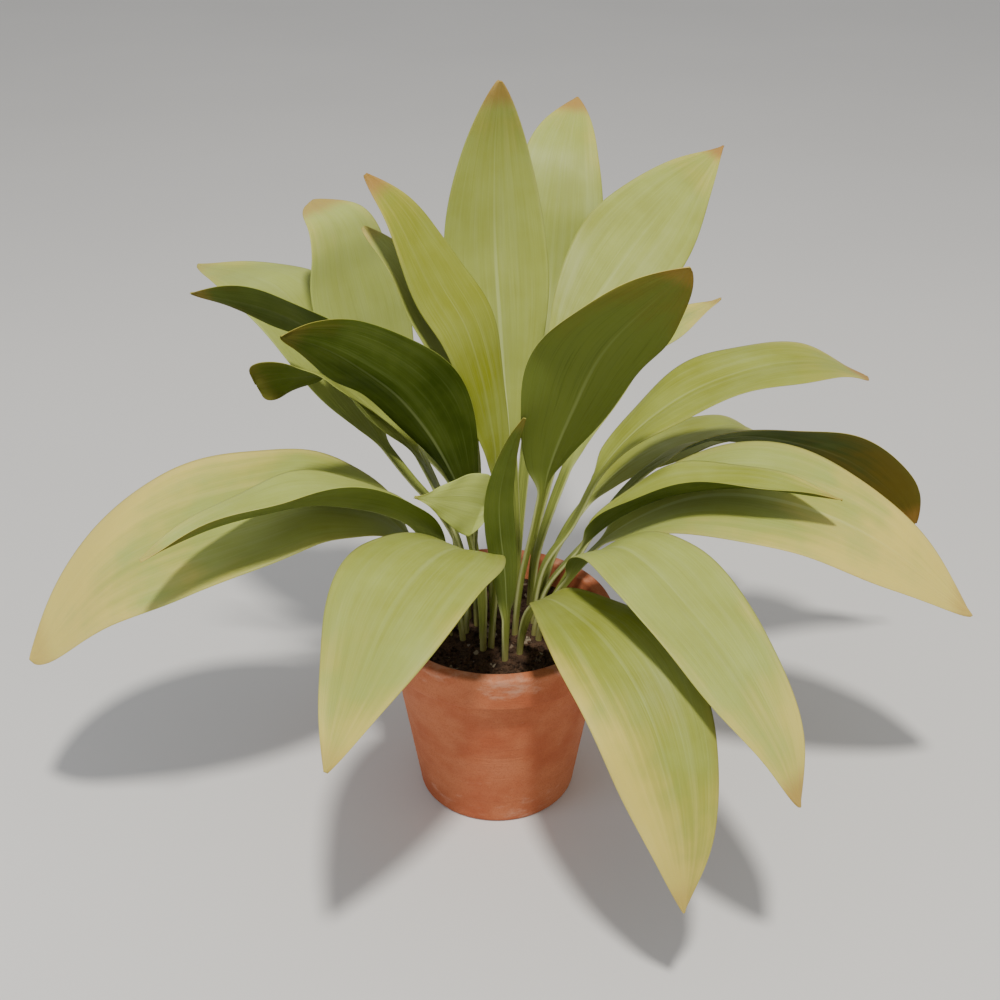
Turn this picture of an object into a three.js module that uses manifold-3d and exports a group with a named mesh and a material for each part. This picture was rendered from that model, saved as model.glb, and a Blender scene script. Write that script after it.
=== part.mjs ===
// A potted haran: a clump of long strap-like leaves, each on its own stalk, in a plain clay pot of soil.
// Millimetres, +Z up. The origin is the centre of the pot's flat foot; -Y is the front of the plant.

import * as THREE from 'three';
import { mergeVertices } from 'three/addons/utils/BufferGeometryUtils.js';
import Module from 'manifold-3d';

const wasm = await Module();
wasm.setup();

// Pot
const POT_HEIGHT = 185;
const POT_RIM_RADIUS = 105;
const POT_BASE_RADIUS = 72;
const RIM_BAND_HEIGHT = 34;
const RIM_BAND_STEP = 5;
const RIM_BAND_TAPER = 2;
const RIM_BAND_SLOPE = 1;
const POT_WALL = 7;
const POT_FLOOR = 9;
const POT_EDGE = 2.5;
const POT_SIDES = 48;
const DRAIN_RADIUS = 7;
const DRAIN_CIRCLE = 36;
const DRAIN_COUNT = 4;
const DRAIN_FIRST = 45;
const DRAIN_SIDES = 20;

// Soil
const SOIL_TOP = 165;
const SOIL_CROWN = 3;
const CROWN_RADIUS_SHARE = 0.7;
const CROWN_DROP_SHARE = 0.4;
const GAP = 0.3;
const CUT_MARGIN = 1;
const WELD = 1e-4;

// Leaves
const STALK_RADIUS = 2.9;
const STALK_DEPTH = 26;
const STALK_UPRIGHT = [-STALK_DEPTH, -10, 3];
const STALK_FIRST_ANGLE = 162;
const STALK_ANGLE_STEP = 36;
const STALK_WING = 0.9;
const STALK_THINNING = 0.3;
const WING_FROM = 0.3;
const HOLE_CLEARANCE = 0.8;
const HOLE_SIDES = 16;
const BLADE_THICKNESS = 0.9;
const MIDRIB_DEPTH = 1.3;
const TIP_WIDTH = 2.4;
const WIDEST_AT = 0.5;
const NECK_TAPER = 1.15;
const TIP_TAPER = 0.8;
const TIP_CROWDING = 1.3;
const FLATTENING = 0.12;
const FOLD_EASING = 0.55;
const MARGIN_DROOP = 0.1;
const WAVE_TURNS = 17;
const WAVE_SHIFT = 1.3;
const STALK_STEPS = 6;
const BLADE_STEPS = 16;
const ARC_DIVISIONS = 400;
const MIDDLE = 2;

// Each leaf stands at foot [x, y] and heads along a bearing in degrees from +X, counterclockwise from
// above.
// path is its midrib, as [out along the bearing, up from the soil] points.
// width is the blade's, and neck is the share of the midrib that is stalk, which widens and thins upwards.
// widest is the share of the blade where it is widest, and a lower tip makes a blunter tip.
// fold lifts both halves of the blade towards each other, and roll turns the blade about its midrib at neck
// and tip, both in degrees. ripple is the height of the soft waves along the margins.
const LEAVES = [
  { name: 'leaf_01', foot: [18, 17], bearing: 105, width: 86, neck: 0.36,
    fold: 12, roll: [0, 0], ripple: 1.5,
    path: [[1, 60], [19, 143], [32, 185], [46, 217], [62, 275], [75, 324], [78, 366], [75, 416],
      [59, 467]] },
  { name: 'leaf_02', foot: [17, 28], bearing: 77, width: 86, neck: 0.36,
    fold: 12, roll: [10, 10], ripple: 2, widest: 0.52, tip: 0.75,
    path: [[12, 70], [38, 142], [133, 261], [159, 329], [188, 374], [253, 405]] },
  { name: 'leaf_03', foot: [30, 36], bearing: 50, width: 90, neck: 0.46,
    fold: 12, roll: [32, 32], ripple: 2, widest: 0.48, tip: 1.1,
    path: [[10, 80], [34, 150], [28, 226], [62, 258], [105, 287], [152, 315], [212, 344], [278, 367]] },
  { name: 'leaf_04', foot: [16, -10], bearing: 324, width: 106, neck: 0.4,
    fold: 18, roll: [-26, -42], ripple: 2, widest: 0.57, tip: 0.85,
    path: [[6, 60], [19, 118], [32, 178], [54, 239], [81, 297], [149, 378]] },
  { name: 'leaf_05', foot: [-3, -5], bearing: 170, width: 53, neck: 0.36,
    fold: 12, roll: [-36, -40], ripple: 2, widest: 0.6, tip: 0.85,
    path: [[2, 76], [-2, 178], [2, 209], [11, 255], [23, 294], [40, 324], [56, 354], [74, 385],
      [98, 412]] },
  { name: 'leaf_06', foot: [-18, 5], bearing: 163, width: 52, neck: 0.48,
    fold: 14, roll: [-14, -14], ripple: 2,
    path: [[2, 69], [-2, 169], [9, 224], [19, 258], [31, 288], [42, 308], [55, 327], [71, 345],
      [91, 364]] },
  { name: 'leaf_07', foot: [-16, 22], bearing: 142, width: 104, neck: 0.4,
    fold: 12, roll: [0, 0], ripple: 2, widest: 0.58, tip: 0.5,
    path: [[6, 78], [30, 129], [64, 152], [94, 183], [110, 211], [122, 241], [128, 264], [138, 297],
      [144, 326], [154, 342], [181, 352]] },
  { name: 'leaf_08', foot: [-26, 16], bearing: 145, width: 98, neck: 0.42,
    fold: 12, roll: [0, 0], ripple: 2, widest: 0.58, tip: 1,
    path: [[8, 70], [30, 102], [62, 126], [94, 154], [122, 184], [155, 226], [204, 272], [305, 273]] },
  { name: 'leaf_09', foot: [-35, 10], bearing: 174, width: 74, neck: 0.46,
    fold: 14, roll: [40, 54], ripple: 2,
    path: [[2, 91], [28, 170], [52, 216], [86, 258], [118, 282], [148, 296], [182, 304], [214, 308]] },
  { name: 'leaf_10', foot: [-13, -15], bearing: 207, width: 96, neck: 0.38,
    fold: 52, roll: [48, 70], ripple: 2,
    path: [[2, 60], [12, 110], [21, 159], [30, 182], [45, 213], [63, 242], [78, 261], [104, 286],
      [122, 301], [141, 313], [162, 322]] },
  { name: 'leaf_11', foot: [-27, -7], bearing: 176, width: 44, neck: 0.54,
    fold: 12, roll: [-14, 80], ripple: 2, widest: 0.9, tip: 0.2,
    path: [[2, 80], [20, 135], [47, 191], [77, 221], [101, 241], [116, 249], [132, 248], [154, 244],
      [170, 239]] },
  { name: 'leaf_12', foot: [-42, -10], bearing: 191, width: 140, neck: 0.22,
    fold: 10, roll: [-16, -16], ripple: 2, widest: 0.52, tip: 0.66,
    path: [[8, 50], [28, 96], [53, 129], [82, 146], [112, 155], [157, 149], [226, 132], [284, 103],
      [358, 22]] },
  { name: 'leaf_13', foot: [-30, -20], bearing: 208, width: 84, neck: 0.26,
    fold: 50, roll: [12, 22], ripple: 2,
    path: [[6, 40], [24, 90], [46, 132], [69, 150], [90, 161], [129, 175], [163, 178], [212, 177],
      [269, 165]] },
  { name: 'leaf_14', foot: [-12, -34], bearing: 245, width: 112, neck: 0.26,
    fold: 12, roll: [0, 0], ripple: 2, widest: 0.42, tip: 0.95,
    path: [[2, 60], [14, 103], [51, 134], [111, 148], [165, 137], [217, 100], [259, 65]] },
  { name: 'leaf_15', foot: [-5, -30], bearing: 216, width: 45, neck: 0.68,
    fold: 4, roll: [-80, -80], ripple: 1, widest: 0.16, tip: 1.5,
    path: [[-4, 52], [-7, 91], [-8, 116], [-5, 132], [5, 144], [23, 155], [74, 178]] },
  { name: 'leaf_16', foot: [7, -48], bearing: 326, width: 20, neck: 0.25,
    fold: 16, roll: [-50, -50], ripple: 0, widest: 0.5, tip: 0.9,
    path: [[1, 63], [-1, 97], [-5, 130], [-6, 158], [-1, 188], [8, 218], [18, 240]] },
  { name: 'leaf_17', foot: [20, -38], bearing: 297, width: 92, neck: 0.2,
    fold: 12, roll: [6, 14], ripple: 2, widest: 0.5, tip: 0.95,
    path: [[6, 30], [22, 62], [48, 86], [90, 98], [134, 102], [180, 92], [211, 72], [234, 42], [256, -6],
      [267, -66]] },
  { name: 'leaf_18', foot: [37, -18], bearing: 308, width: 90, neck: 0.24,
    fold: 14, roll: [0, 0], ripple: 2,
    path: [[7, 30], [24, 62], [50, 100], [75, 130], [102, 146], [138, 144], [174, 131], [211, 114],
      [246, 90], [279, 59], [302, 21]] },
  { name: 'leaf_19', foot: [42, 2], bearing: 351, width: 112, neck: 0.24,
    fold: 18, roll: [20, 20], ripple: 2,
    path: [[10, 34], [29, 68], [58, 104], [89, 128], [121, 144], [156, 151], [203, 147], [252, 131],
      [298, 105], [365, 52]] },
  { name: 'leaf_20', foot: [33, -9], bearing: 349, width: 66, neck: 0.34,
    fold: 50, roll: [-10, -10], ripple: 2,
    path: [[10, 49], [27, 79], [48, 107], [70, 129], [104, 151], [135, 162], [174, 169], [250, 166]] },
  { name: 'leaf_21', foot: [42, 16], bearing: 21, width: 98, neck: 0.34,
    fold: 10, roll: [-30, -50], ripple: 2,
    path: [[16, 30], [54, 92], [91, 130], [138, 150], [184, 152], [242, 136], [311, 102], [370, 52],
      [400, 14]] },
  { name: 'leaf_22', foot: [32, 8], bearing: 16, width: 84, neck: 0.36,
    fold: 14, roll: [0, 0], ripple: 2, widest: 0.64, tip: 0.5,
    path: [[10, 60], [34, 96], [68, 160], [128, 208], [198, 228], [256, 226], [306, 206]] },
  { name: 'leaf_23', foot: [40, 30], bearing: 38, width: 66, neck: 0.34,
    fold: 12, roll: [0, 0], ripple: 2,
    path: [[12, 50], [40, 86], [85, 113], [129, 124], [190, 123], [244, 113], [290, 86]] },
  { name: 'leaf_24', foot: [32, 20], bearing: 42, width: 44, neck: 0.4,
    fold: 12, roll: [0, 0], ripple: 2,
    path: [[4, 60], [18, 98], [54, 162], [100, 220], [160, 238], [234, 246]] },
];

// sRGB colours of the finished surfaces
const TERRACOTTA = 0xb5653f;
const POTTING_SOIL = 0x3b2a1e;
const LEAF_GREEN = 0x9fa35e;

const rad = THREE.MathUtils.degToRad;

function material(name, color, roughness) {
  return new THREE.MeshStandardMaterial({ name, color, roughness, metalness: 0 });
}

function addMesh(group, name, geometry, finish) {
  const mesh = new THREE.Mesh(geometry, finish);
  mesh.name = name;
  group.add(mesh);
}

// Booleans

function toSolid(geometry) {
  const bare = geometry.clone();
  bare.deleteAttribute('normal');
  bare.deleteAttribute('uv');
  const merged = mergeVertices(bare, WELD);
  const vertProperties = new Float32Array(merged.attributes.position.array);
  const triVerts = new Uint32Array(merged.index.array);
  return new wasm.Manifold(new wasm.Mesh({ numProp: 3, vertProperties, triVerts }));
}

function toGeometry(solid) {
  const mesh = solid.getMesh();
  const geometry = new THREE.BufferGeometry();
  geometry.setAttribute('position', new THREE.BufferAttribute(mesh.vertProperties, 3));
  geometry.setIndex(new THREE.BufferAttribute(mesh.triVerts, 1));
  geometry.computeVertexNormals();
  return geometry;
}

// A solid turned about the Z axis from [radius, height] points, given outside first and upwards.
function turned(points, sides) {
  const profile = points.map(([radius, height]) => new THREE.Vector2(radius, height));
  return new THREE.LatheGeometry(profile, sides).rotateX(Math.PI / 2);
}

function post(radius, low, high, x, y, sides) {
  const cylinder = new THREE.CylinderGeometry(radius, radius, high - low, sides).rotateX(Math.PI / 2);
  return toSolid(cylinder.translate(x, y, (low + high) / 2));
}

// Pot

function outerRadius(height) {
  return THREE.MathUtils.lerp(POT_BASE_RADIUS, POT_RIM_RADIUS - RIM_BAND_STEP, height / POT_HEIGHT);
}

function innerRadius(height) {
  return outerRadius(height) - POT_WALL;
}

function pot() {
  const band = POT_HEIGHT - RIM_BAND_HEIGHT;
  const bandRadius = POT_RIM_RADIUS - RIM_BAND_TAPER;
  const shell = turned([
    [0, 0],
    [POT_BASE_RADIUS - POT_EDGE, 0],
    [POT_BASE_RADIUS, POT_EDGE],
    [outerRadius(band), band],
    [bandRadius - POT_EDGE, band + RIM_BAND_SLOPE],
    [bandRadius, band + RIM_BAND_SLOPE + POT_EDGE],
    [POT_RIM_RADIUS, POT_HEIGHT - POT_EDGE],
    [POT_RIM_RADIUS - POT_EDGE, POT_HEIGHT],
    [innerRadius(POT_HEIGHT) + POT_EDGE, POT_HEIGHT],
    [innerRadius(POT_HEIGHT), POT_HEIGHT - POT_EDGE],
    [innerRadius(POT_FLOOR), POT_FLOOR],
    [0, POT_FLOOR],
  ], POT_SIDES);
  let body = toSolid(shell);
  for (let i = 0; i < DRAIN_COUNT; i++) {
    const turn = rad(DRAIN_FIRST + i * 360 / DRAIN_COUNT);
    const x = DRAIN_CIRCLE * Math.cos(turn);
    const y = DRAIN_CIRCLE * Math.sin(turn);
    body = body.subtract(post(DRAIN_RADIUS, -CUT_MARGIN, POT_FLOOR + CUT_MARGIN, x, y, DRAIN_SIDES));
  }
  return toGeometry(body);
}

// Soil, with a plain hole where each stalk stands

function soil() {
  const low = POT_FLOOR + GAP;
  const fill = turned([
    [0, low],
    [innerRadius(low) - GAP, low],
    [innerRadius(SOIL_TOP) - GAP, SOIL_TOP - SOIL_CROWN],
    [innerRadius(SOIL_TOP) * CROWN_RADIUS_SHARE, SOIL_TOP - SOIL_CROWN * CROWN_DROP_SHARE],
    [0, SOIL_TOP],
  ], POT_SIDES);
  let body = toSolid(fill);
  for (const { foot: [x, y] } of LEAVES) {
    const radius = STALK_RADIUS + HOLE_CLEARANCE;
    const floor = SOIL_TOP - STALK_DEPTH - GAP;
    body = body.subtract(post(radius, floor, SOIL_TOP + CUT_MARGIN, x, y, HOLE_SIDES));
  }
  return toGeometry(body);
}

// Leaves

function midrib({ foot: [x, y], bearing, path }) {
  const out = new THREE.Vector3(Math.cos(rad(bearing)), Math.sin(rad(bearing)), 0);
  const place = ([along, up]) => new THREE.Vector3(x, y, SOIL_TOP + up).addScaledVector(out, along);
  const stem = STALK_UPRIGHT.map((up) => [0, up]);
  return new THREE.CatmullRomCurve3([...stem, ...path].map(place), false, 'centripetal');
}

// The blade's width, from 0 at its neck and its tip to 1 where it is widest.
function outline(along, widest = WIDEST_AT, tip = TIP_TAPER) {
  if (along < widest) return Math.sin(Math.PI / 2 * along / widest) ** NECK_TAPER;
  return Math.max(0, Math.cos(Math.PI / 2 * (along - widest) / (1 - widest))) ** tip;
}

// One closed ring round the leaf: five points over the upper face, then five back along the underside.
function ring(leaf, curve, share) {
  const centre = curve.getPointAt(share);
  const along = curve.getTangentAt(share);
  const blade = Math.max(0, (share - leaf.neck) / (1 - leaf.neck));
  const flat = THREE.MathUtils.smoothstep(blade, 0, FLATTENING);
  const wing = THREE.MathUtils.smoothstep(share / leaf.neck, WING_FROM, 1);
  const stalkHalf = STALK_RADIUS * (1 + STALK_WING * wing);
  const stalkDepth = STALK_RADIUS * (1 - STALK_THINNING * wing);
  const least = Math.max(TIP_WIDTH / 2, stalkHalf * (1 - blade));
  const half = leaf.width / 2 * outline(blade, leaf.widest, leaf.tip) + least;

  const left = new THREE.Vector3(-Math.sin(rad(leaf.bearing)), Math.cos(rad(leaf.bearing)), 0);
  left.addScaledVector(along, -left.dot(along)).normalize();
  const up = new THREE.Vector3().crossVectors(along, left);
  const roll = rad(THREE.MathUtils.lerp(leaf.roll[0], leaf.roll[1], blade ** 2)) * flat;
  const side = left.clone().multiplyScalar(Math.cos(roll)).addScaledVector(up, Math.sin(roll));
  const face = up.clone().multiplyScalar(Math.cos(roll)).addScaledVector(left, -Math.sin(roll));

  const fold = rad(leaf.fold) * (1 - FOLD_EASING * blade);
  const point = (k, sign) => {
    const across = (k - MIDDLE) / MIDDLE;
    const round = rad(STALK_FIRST_ANGLE - STALK_ANGLE_STEP * k);
    const reach = Math.abs(across) * half;
    const wave = leaf.ripple * across ** 2 * Math.sin(blade * WAVE_TURNS + k * WAVE_SHIFT) * flat;
    const rib = k === MIDDLE && sign < 0 ? MIDRIB_DEPTH * (1 - blade) : 0;
    const skin = sign * (BLADE_THICKNESS / 2 + rib);
    const lift = reach * Math.sin(fold) - across ** 2 * half * MARGIN_DROOP + wave + skin;
    const spread = across * half * Math.cos(fold);
    const sideways = THREE.MathUtils.lerp(stalkHalf * Math.cos(round), spread, flat);
    const upwards = THREE.MathUtils.lerp(sign * stalkDepth * Math.sin(round), lift, flat);
    return centre.clone().addScaledVector(side, -sideways).addScaledVector(face, upwards);
  };
  const columns = [...Array(2 * MIDDLE + 1).keys()];
  const over = columns.map((k) => point(k, 1));
  const under = columns.map((k) => point(k, -1)).reverse();
  return [...over, ...under];
}

function leafShares(neck) {
  const shares = [0];
  for (let i = 1; i <= STALK_STEPS; i++) shares.push(neck * i / STALK_STEPS);
  for (let i = 1; i <= BLADE_STEPS; i++) {
    shares.push(1 - (1 - neck) * (1 - i / BLADE_STEPS) ** TIP_CROWDING);
  }
  return shares;
}

function leafGeometry(leaf) {
  const curve = midrib(leaf);
  curve.arcLengthDivisions = ARC_DIVISIONS;
  const rings = leafShares(leaf.neck).map((share) => ring(leaf, curve, share));
  const size = rings[0].length;
  const last = rings.length - 1;
  const positions = rings.flat().flatMap((p) => [p.x, p.y, p.z]);
  const index = [];
  for (let j = 0; j < last; j++) {
    for (let k = 0; k < size; k++) {
      const next = (k + 1) % size;
      const a = j * size + k;
      const b = j * size + next;
      const c = a + size;
      const d = b + size;
      const over = k < size / 2 - 1;
      if (over) index.push(a, b, d, a, d, c);
      else index.push(a, b, c, b, d, c);
    }
  }
  for (const [j, flip] of [[0, false], [last, true]]) {
    for (let k = 0; k < size / 2 - 1; k++) {
      const a = j * size + k;
      const b = a + 1;
      const c = j * size + size - 1 - k;
      const d = c - 1;
      if (flip) index.push(a, b, c, b, d, c);
      else index.push(a, c, b, b, c, d);
    }
  }
  const geometry = new THREE.BufferGeometry();
  geometry.setAttribute('position', new THREE.Float32BufferAttribute(positions, 3));
  geometry.setIndex(index);
  geometry.computeVertexNormals();
  return geometry;
}

const plant = new THREE.Group();
addMesh(plant, 'pot', pot(), material('terracotta', TERRACOTTA, 0.85));
addMesh(plant, 'soil', soil(), material('potting_soil', POTTING_SOIL, 1));
for (const leaf of LEAVES) {
  addMesh(plant, leaf.name, leafGeometry(leaf), material(`${leaf.name}_green`, LEAF_GREEN, 0.45));
}

export default plant;
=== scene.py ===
# A potted haran (cast iron plant): long arching strap leaves on slender stalks, in a plain clay pot of soil.
# The leaf table and the pot's sizes are those of the CAD model, in millimetres. The scene is in metres.
import math
from dataclasses import dataclass

import bmesh
import bpy
import numpy as np
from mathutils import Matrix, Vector


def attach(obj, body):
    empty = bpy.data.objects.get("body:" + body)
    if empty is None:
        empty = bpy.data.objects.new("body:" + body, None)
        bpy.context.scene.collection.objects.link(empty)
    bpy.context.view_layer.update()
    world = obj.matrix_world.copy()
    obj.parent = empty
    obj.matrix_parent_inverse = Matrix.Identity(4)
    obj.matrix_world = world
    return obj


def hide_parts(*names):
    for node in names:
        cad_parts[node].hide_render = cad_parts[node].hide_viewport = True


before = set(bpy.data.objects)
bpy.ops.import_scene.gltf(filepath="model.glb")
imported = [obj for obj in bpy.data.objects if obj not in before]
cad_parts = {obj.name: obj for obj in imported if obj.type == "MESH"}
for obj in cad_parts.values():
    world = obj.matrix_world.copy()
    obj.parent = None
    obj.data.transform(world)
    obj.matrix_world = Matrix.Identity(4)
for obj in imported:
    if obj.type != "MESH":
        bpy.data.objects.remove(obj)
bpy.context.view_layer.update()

MM = 0.001

# Pot
POT_HEIGHT = 185
POT_RIM_RADIUS = 105
POT_BASE_RADIUS = 72
RIM_BAND_HEIGHT = 34
RIM_BAND_STEP = 5
RIM_BAND_TAPER = 2
RIM_BAND_SLOPE = 1
POT_WALL = 7
POT_FLOOR = 9
POT_ROUNDING = 3.2
POT_SIDES = 160
DRAIN_RADIUS = 7
DRAIN_CIRCLE = 36
DRAIN_COUNT = 4
DRAIN_FIRST = 45
DRAIN_SIDES = 32
ROUNDING_STEPS = 4
ROUNDING_SHARE = 0.45
THROW_PITCH = 2.5
THROW_DEPTH = 0.18
THROW_FROM_RADIUS = 20
THROW_FROM_HEIGHT = 6
THROW_BELOW_LIP = 4
THROW_SEED = 11

# Soil
SOIL_TOP = 165
SOIL_CROWN = 3
GAP = 0.3
SOIL_RINGS = 56
SOIL_SECTORS = 192
MOUNDS = 260
MOUND_HEIGHTS = (-1.6, 1.4)
MOUND_SPREADS = (3, 9)
CRUMBS = 1500
CRUMB_WIDTHS = (1.4, 2.0, 2.8)
CRUMB_SHARES = (0.55, 0.33, 0.12)
CRUMB_SHRINKING = (0.7, 1.0)
CRUMB_SQUASHING = (0.55, 1.2)
CRUMB_ROUGHENING = 0.22
CRUMB_SCATTER = 0.97
CRUMB_STANDOFF = 0.6
CRUMB_RAISING = 0.3
TOP_DEPTH = 0.5
EDGE_FADE = 6
LIFT_LIMITS = (-3, 2.5)
STALK_MOUND = 1.6
STALK_MOUND_SPREAD = 7
SOIL_SEED = 5

# Leaves
STALK_RADIUS = 2.9
STALK_DEPTH = 26
STALK_UPRIGHT = (-STALK_DEPTH, -10, 3)
STALK_WING = 0.9
STALK_THINNING = 0.3
WING_FROM = 0.3
STALK_CHANNEL = 0.35
CHANNEL_REACH = 0.4
STALK_ARC = 88
BLADE_THICKNESS = 0.9
EDGE_THICKNESS = 0.4
EDGE_FULLNESS = 0.999
MIDRIB_DEPTH = 1.3
MIDRIB_REACH = 1.9
GROOVE_DEPTH = 0.55
GROOVE_REACH = 1.4
TIP_WIDTH = 2.4
WIDEST_AT = 0.5
NECK_TAPER = 1.15
TIP_TAPER = 0.8
TIP_CROWDING = 1.3
FLATTENING = 0.12
FOLD_EASING = 0.55
MARGIN_DROOP = 0.1
KEEL_ROUNDING = 0.09
PLEATS = 9
PLEAT_DEPTH = 0.22
PLEAT_START = (0.05, 0.3)
WAVE_TURNS = 17
WAVE_SHIFT = 1.3
CURVE_DIVISIONS = 400
TANGENT_STEP = 0.0001
STALK_RINGS = 26
BLADE_RINGS = 96
ACROSS_POINTS = 33
MARGIN_CROWDING = 0.35

# Leaf patterns, in mm
VEIN_PITCH = 1.3
VEIN_RUN = 62
BAND_PITCH = 6.5
BAND_RUN = 140
CLOUD_SIZE = 42
FLECK_SIZE = 2.4
VEIN_RELIEF = 0.3
HALF_BLADE = 45
FOOT_RUN = 60
GLOW_DEPTH = 1.2

# Leaf patterns: the levels of noise between which each one comes in, and how strongly it shows
BAND_LEVELS = (0.4, 0.8)
BAND_STRENGTH = 0.22
VEIN_LEVELS = (0.5, 0.75)
VEIN_STRENGTH = 0.24
GLINT_LEVELS = (0.5, 0.28)
GLINT_STRENGTH = 0.14
FLECK_LEVELS = (0.66, 0.78)
FLECK_STRENGTH = 0.2
STRIPE_LEVELS = (0.35, 0.65)

# Leaf patterns: places, as shares of the blade's length or half width, and how strongly they show
RIM_PLACE = (0.8, 1.0)
BROWN_PLACE = (0.91, 0.97)
RIB_HALF_WIDTHS = (0.07, 0.02)
RIB_CORE = 0.3
RIB_PLACE = (0.9, 0.1)
RIB_LEAST = 0.15
STALK_RIM_PLACE = (0.5, 0.9)
STALK_RIM_STRENGTH = 0.8
STALK_END = (0.12, -0.02)

# Leaf ageing and gloss. In each pair the first number is a factor and the second is added.
TONE_DRIFT = (1.0, -0.15)
WANDER = (0.3, -0.15)
MARGIN_LEAD = 0.2
CLOUD_LEAD = 0.6
CLOUD_MIDDLE = -0.3
OLD_FROM = (-0.6, 0.92)
OLD_REACH = 0.45
OLD_STRENGTH = (0.6, 0.28)
RIM_WANDER = 0.3
RIM_STRENGTH = (0.4, -0.04)
BROWN_WANDER = 0.12
CLOUD_DULLING = 0.16
OLD_DULLING = 0.12
BAND_RELIEF = 2.0
LEAF_RELIEF = 0.6
GLOW = 0.15
GLOW_REACH = (0.9, 1.0, 0.25)

# How far apart the noise of one leaf is from the next one's
SPOT_SEED = 7.0
SEED_SPREAD = 31.0

# Clay and soil patterns, in mm
CLAY_GRAIN = 1.2
CLAY_CLOUD = 45
CLAY_RELIEF = 0.4
RING_PITCH = 2.2
BLOOM_SIZE = 28
BLOOM_FOOT = (60, 8)
BLOOM_RIM = (150, 184)
SOIL_CRUMB = 4.5
SOIL_GRAIN = 1.5
SOIL_RELIEF = 0.8

# Clay patterns drawn out sideways, as factors on their coordinates
RING_STRETCH = 0.03
BLOOM_SQUASH = 2.2

# Clay and soil patterns: the levels of noise between which each one comes in, and how strongly it shows
CLOUD_LEVELS = (0.3, 0.7)
GRAIN_LEVELS = (0.45, 0.7)
GRAIN_STRENGTH = 0.5
BLOOM_LEVELS = (0.6, 0.9)
BLOOM_STRENGTH = 0.5
BLOOM_FOOT_GAIN = 0.1
BLOOM_RIM_GAIN = 0.14
DRYING_LEVELS = (0.4, 0.8)
CLAY_ROUGHNESS = (0.74, 0.95)
RING_RELIEF = 1.3
CLAY_BUMP = 0.7
BLACK_LEVELS = (0.4, 0.7)
BLACK_STRENGTH = 0.6
PALE_LEVELS = (0.94, 0.97)
PALE_STRENGTH = 0.6
DAMP_LEVELS = (0.3, 0.7)
SOIL_ROUGHNESS = (0.8, 1)
SOIL_BUMP = 0.8

# sRGB colours
LEAF_YOUNG = 0xa8b25c
LEAF_DEEP = 0x878c26
LEAF_BAND = 0xb0b878
LEAF_VEIN = 0x888f3a
LEAF_GLINT = 0xb6c074
LEAF_OLD = 0xe6cc68
# Underside colours: darkened as painted shade for undersides turned away from the lamps. A real haran
# underside is paler than its top.
UNDER_SHADED_YOUNG = 0x66722e
UNDER_SHADED_DEEP = 0x303e0c
UNDER_SHADED_BAND = 0x5e6a32
UNDER_SHADED_VEIN = 0x323e10
UNDER_SHADED_GLINT = 0x6e7a3e
UNDER_SHADED_OLD = 0x756422
MARGIN_YELLOW = 0xc4b468
UNDER_SHADED_MARGIN = 0x646a2e
TIP_BROWN = 0xa87a3e
FLECK_BROWN = 0x9a8648
MIDRIB_PALE = 0xc4cf8c
STALK_GREEN = 0x939b46
STALK_DARK = 0x6a7430
STALK_PALE = 0xccd08e
STALK_FOOT = 0x9b9858
CLAY_RED = 0xb2603c
CLAY_ORANGE = 0xc57850
CLAY_DARK = 0x94492c
CLAY_BLOOM = 0xd9b59a
SOIL_DARK = 0x35261b
SOIL_BROWN = 0x5a4230
SOIL_BLACK = 0x1d1510
SOIL_PALE = 0xa89a82
FLOOR_PALE = 0xe2dfda
FLOOR_GREY = 0xd9d6d1
KEY_WHITE = 0xfffdf8
FILL_COOL = 0xdfe9ff
FILL_WARM = 0xfff0dc
SKY = 0xe9ebee

# Studio, in metres and watts
FLOOR_HALF = 9
FLOOR_PATCHES = 1.5
AIM = (0, 0, 0.3)
KEY_PLACE = (0.15, -1.3, 3.2)
KEY_SIZE = 0.3
KEY_POWER = 106
LEFT_PLACE = (-2.0, -1.2, 1.3)
RIGHT_PLACE = (2.0, -0.8, 1.0)
FILL_SIZE = 1.6
LEFT_POWER = 12
RIGHT_POWER = 4
SKY_STRENGTH = 0.56
CAMERA_PLACE = (0.0027, -1.025, 0.8898)
CAMERA_TILT = 60
CAMERA_LENS = 50
SENSOR = 36
CAMERA_REACH = 50


@dataclass
class Leaf:
    """foot, width, ripple and path in mm, bearing, fold and roll in degrees. neck is the share of the midrib
    that is stalk. tone is how deep the green is, age how far its margins and end have yellowed, lean how
    much further on its right side than its left, spot how brown its tip is, and rib how clear its midrib
    is. widest is how far along the blade it is widest, and tip how sharply it narrows from there."""
    name: str
    foot: tuple
    bearing: float
    width: float
    neck: float
    fold: float
    roll: tuple
    ripple: float
    path: list
    tone: float
    age: float
    spot: float
    rib: float
    lean: float = 0
    widest: float = WIDEST_AT
    tip: float = TIP_TAPER


@dataclass
class Skin:
    """The colours of one face of a leaf, and its gloss."""
    young: int
    deep: int
    band: int
    vein: int
    glint: int
    old: int
    margin: int
    roughness: float
    specular: float


UPPER = Skin(LEAF_YOUNG, LEAF_DEEP, LEAF_BAND, LEAF_VEIN, LEAF_GLINT, LEAF_OLD, MARGIN_YELLOW,
             roughness=0.42, specular=0.26)
# The underside skin is a shaded copy of the leaf colours: painted shade, not the underside's own colour.
UNDER_SHADED = Skin(UNDER_SHADED_YOUNG, UNDER_SHADED_DEEP, UNDER_SHADED_BAND, UNDER_SHADED_VEIN, UNDER_SHADED_GLINT, UNDER_SHADED_OLD, UNDER_SHADED_MARGIN,
             roughness=0.68, specular=0.06)

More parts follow.
